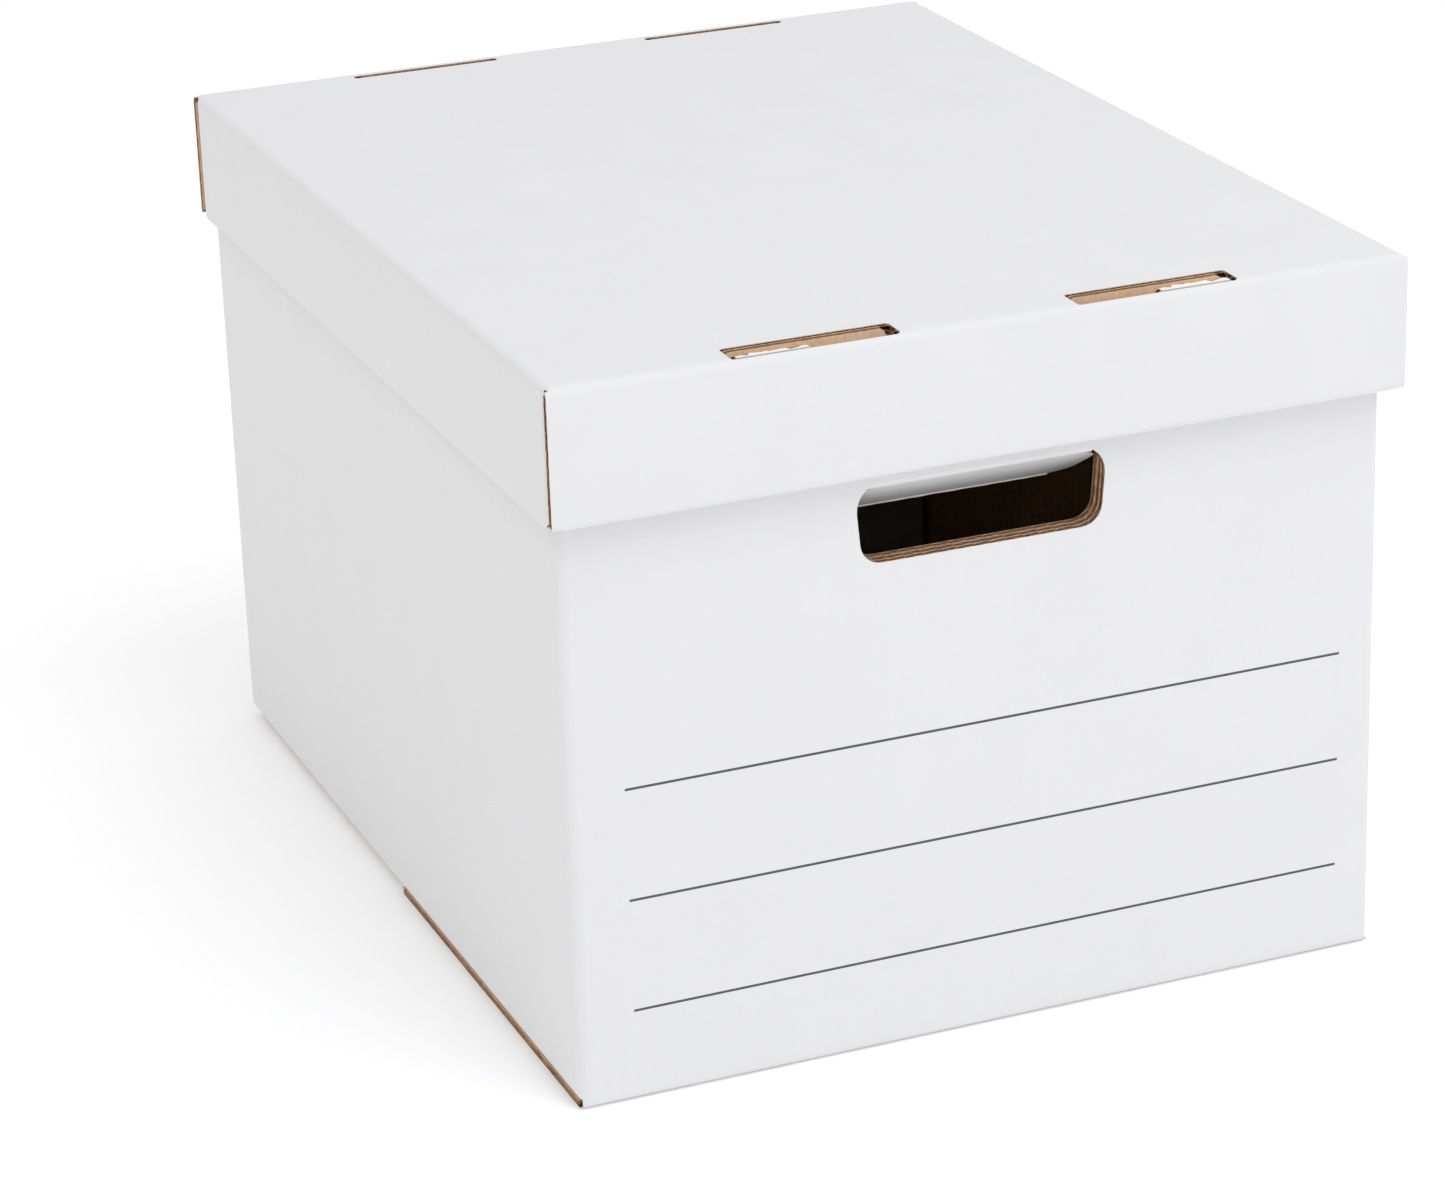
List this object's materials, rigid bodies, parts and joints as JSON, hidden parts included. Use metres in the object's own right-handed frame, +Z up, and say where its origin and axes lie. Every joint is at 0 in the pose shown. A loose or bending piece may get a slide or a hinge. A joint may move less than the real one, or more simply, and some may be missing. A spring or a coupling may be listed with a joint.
{
  "type": "archival box",
  "caption": "Lift-lid archival storage box of white corrugated board with hand holes, folded ends and a double bottom.",
  "frame": {"origin": "centre of the lid's footprint, on the floor under the box", "axes": "+Z up, +Y from the label end to the rear end, +X to the right seen from the label end"},
  "size_m": [0.3174, 0.4116, 0.2667],
  "materials": {
    "white_board": "matt white liner on corrugated board",
    "kraft_board": "brown kraft liner on corrugated board"
  },
  "bodies": {
    "box": {"front_bottom_flap": "white_board", "front_end_panel": "white_board", "front_inner_panel": "white_board", "front_middle_panel": "kraft_board", "front_rim": "white_board", "left_bottom_flap": "white_board", "left_side_panel": "white_board", "rear_bottom_flap": "white_board", "rear_end_panel": "white_board", "rear_inner_panel": "white_board", "rear_middle_panel": "kraft_board", "rear_rim": "white_board", "right_bottom_flap": "white_board", "right_side_panel": "white_board", "seam_flap": "kraft_board"},
    "lid": {"lid_front_inner_panel": "white_board", "lid_front_left_corner_tab": "kraft_board", "lid_front_right_corner_tab": "kraft_board", "lid_front_skirt": "white_board", "lid_front_spine": "white_board", "lid_left_skirt": "white_board", "lid_rear_inner_panel": "white_board", "lid_rear_left_corner_tab": "kraft_board", "lid_rear_right_corner_tab": "kraft_board", "lid_rear_skirt": "white_board", "lid_rear_spine": "white_board", "lid_right_skirt": "white_board", "lid_top_panel": "white_board"},
    "front_tab": {"front_hand_tab": "white_board"},
    "rear_tab": {"rear_hand_tab": "white_board"}
  },
  "joints": [
    {"name": "lid_lift", "type": "slide", "parent": "box", "child": "lid", "axis": [0, 0, 1], "range_m": [0, 0.15]},
    {"name": "front_tab_hinge", "type": "hinge", "parent": "box", "child": "front_tab", "pos_m": [0, -0.19365, 0.2121], "axis": [1, 0, 0], "range_deg": [-58.5, 31.5]},
    {"name": "rear_tab_hinge", "type": "hinge", "parent": "box", "child": "rear_tab", "pos_m": [0, 0.19365, 0.2121], "axis": [-1, 0, 0], "range_deg": [-58.5, 31.5]}
  ]
}
